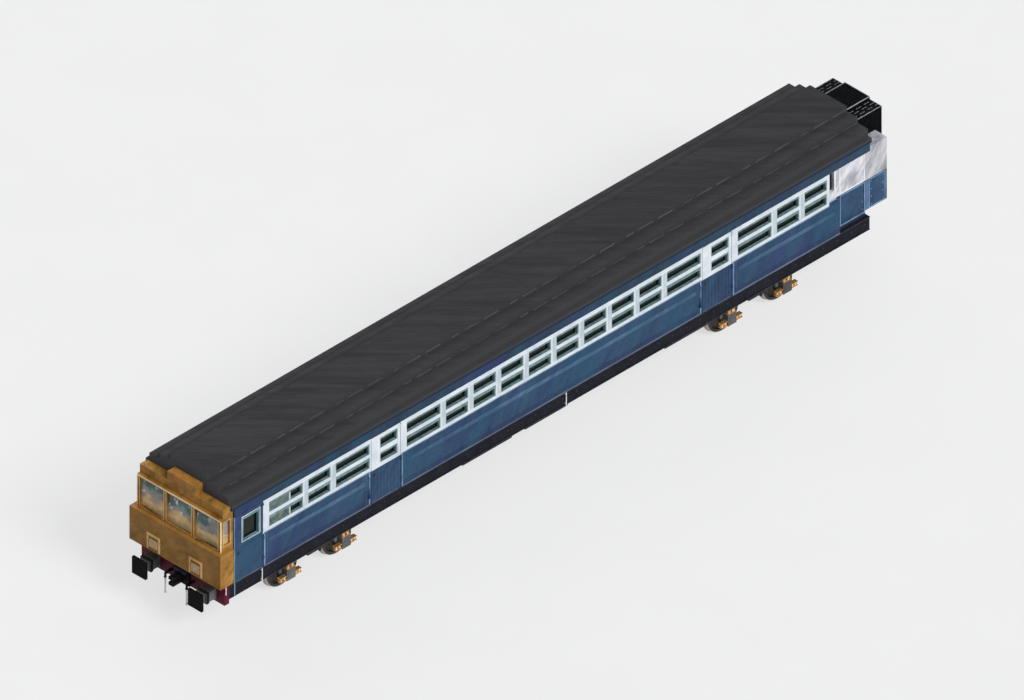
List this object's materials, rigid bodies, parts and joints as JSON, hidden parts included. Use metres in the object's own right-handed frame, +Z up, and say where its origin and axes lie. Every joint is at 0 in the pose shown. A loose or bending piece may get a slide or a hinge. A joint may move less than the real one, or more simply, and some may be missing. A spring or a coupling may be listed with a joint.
{
  "type": "diesel multiple unit driving car",
  "caption": "Blocky full-size driving car of a diesel multiple unit: yellow cab front, hinged doors, seats, gangway, and swivelling bogies with turning wheelsets.",
  "frame": {"origin": "bottom centre of the whole car, on its centre line midway between the buffer faces and the gangway face, at the lowest point of the wheel flanges", "axes": "+X forward, out of the cab front; +Y to the left side; +Z up"},
  "size_m": [20.987, 2.764, 3.7699],
  "materials": {
    "yellow_paint": "satin, weathered",
    "blue_paint": "satin",
    "white_paint": "satin",
    "end_panel_paint": "satin, streaked",
    "roof_paint": "matt",
    "black_paint": "satin",
    "crimson_paint": "satin",
    "frame_steel": "painted, dusty",
    "axlebox_iron": "rough",
    "housing_iron": "rough",
    "wheel_steel": "rolled",
    "brass": "dull",
    "glass": "clear",
    "rubber": "matt",
    "seat_fabric": "woven moquette",
    "interior_wood": "varnished",
    "interior_plastic": "matt",
    "lamp": "frosted"
  },
  "bodies": {
    "car_body": {"nose_box": "yellow_paint", "cab_front_frame": "yellow_paint", "cab_brow": "yellow_paint", "lamp_frames": "yellow_paint", "marker_lamps": "lamp", "cab_seals": "rubber", "windscreens": "glass", "lower_panels": "blue_paint", "cantrails": "blue_paint", "window_bands": "white_paint", "side_windows": "glass", "roof": "roof_paint", "partitions": "interior_wood", "seats": "seat_fabric", "driver_desk": "interior_plastic", "vestibule_panels": "end_panel_paint", "end_wall": "black_paint", "corner_boxes": "end_panel_paint", "gangway_bellows": "rubber", "solebars": "black_paint", "headstocks": "crimson_paint", "underframe": "black_paint", "buffer_housings": "housing_iron", "buffer_heads": "black_paint", "couplings": "frame_steel", "engines": "frame_steel", "underfloor_boxes": "black_paint"},
    "cab_door_left": {"cab_door_left": "blue_paint", "cab_door_glass_left": "glass"},
    "cab_door_right": {"cab_door_right": "blue_paint", "cab_door_glass_right": "glass"},
    "front_door_left": {"front_door_left": "blue_paint", "front_door_glass_left": "glass"},
    "front_door_right": {"front_door_right": "blue_paint", "front_door_glass_right": "glass"},
    "rear_door_left": {"rear_door_left": "blue_paint", "rear_door_glass_left": "glass"},
    "rear_door_right": {"rear_door_right": "blue_paint", "rear_door_glass_right": "glass"},
    "gangway_door": {"gangway_door": "interior_plastic"},
    "bogie_front": {"bogie_frame_front": "frame_steel", "axleboxes_front": "axlebox_iron", "springs_front": "brass"},
    "wheelset_front_leading": {"wheelset_front_leading": "wheel_steel"},
    "wheelset_front_trailing": {"wheelset_front_trailing": "wheel_steel"},
    "bogie_rear": {"bogie_frame_rear": "frame_steel", "axleboxes_rear": "axlebox_iron", "springs_rear": "brass"},
    "wheelset_rear_leading": {"wheelset_rear_leading": "wheel_steel"},
    "wheelset_rear_trailing": {"wheelset_rear_trailing": "wheel_steel"}
  },
  "joints": [
    {"name": "cab_door_left_hinge", "type": "hinge", "parent": "car_body", "child": "cab_door_left", "pos_m": [8.8275, 1.272, 1.43], "axis": [0, 0, 1], "range_deg": [0, 90]},
    {"name": "cab_door_right_hinge", "type": "hinge", "parent": "car_body", "child": "cab_door_right", "pos_m": [8.8275, -1.272, 1.43], "axis": [0, 0, -1], "range_deg": [0, 90]},
    {"name": "front_door_left_hinge", "type": "hinge", "parent": "car_body", "child": "front_door_left", "pos_m": [4.6455, 1.272, 1.43], "axis": [0, 0, 1], "range_deg": [0, 90]},
    {"name": "front_door_right_hinge", "type": "hinge", "parent": "car_body", "child": "front_door_right", "pos_m": [4.6455, -1.272, 1.43], "axis": [0, 0, -1], "range_deg": [0, 90]},
    {"name": "rear_door_left_hinge", "type": "hinge", "parent": "car_body", "child": "rear_door_left", "pos_m": [-5.4145, 1.272, 1.43], "axis": [0, 0, 1], "range_deg": [0, 90]},
    {"name": "rear_door_right_hinge", "type": "hinge", "parent": "car_body", "child": "rear_door_right", "pos_m": [-5.4145, -1.272, 1.43], "axis": [0, 0, -1], "range_deg": [0, 90]},
    {"name": "gangway_door_hinge", "type": "hinge", "parent": "car_body", "child": "gangway_door", "pos_m": [-9.5565, 0.334, 1.43], "axis": [0, 0, 1], "range_deg": [0, 90]},
    {"name": "bogie_front_pivot", "type": "hinge", "parent": "car_body", "child": "bogie_front", "pos_m": [6.9935, 0, 1.015], "axis": [0, 0, 1], "range_deg": [-5, 5]},
    {"name": "wheelset_front_leading_axle", "type": "hinge", "parent": "bogie_front", "child": "wheelset_front_leading", "pos_m": [7.8335, 0, 0.487], "axis": [0, 1, 0], "continuous": true},
    {"name": "wheelset_front_trailing_axle", "type": "hinge", "parent": "bogie_front", "child": "wheelset_front_trailing", "pos_m": [6.1535, 0, 0.487], "axis": [0, 1, 0], "continuous": true},
    {"name": "bogie_rear_pivot", "type": "hinge", "parent": "car_body", "child": "bogie_rear", "pos_m": [-6.4065, 0, 1.015], "axis": [0, 0, 1], "range_deg": [-5, 5]},
    {"name": "wheelset_rear_leading_axle", "type": "hinge", "parent": "bogie_rear", "child": "wheelset_rear_leading", "pos_m": [-5.5665, 0, 0.487], "axis": [0, 1, 0], "continuous": true},
    {"name": "wheelset_rear_trailing_axle", "type": "hinge", "parent": "bogie_rear", "child": "wheelset_rear_trailing", "pos_m": [-7.2465, 0, 0.487], "axis": [0, 1, 0], "continuous": true}
  ]
}
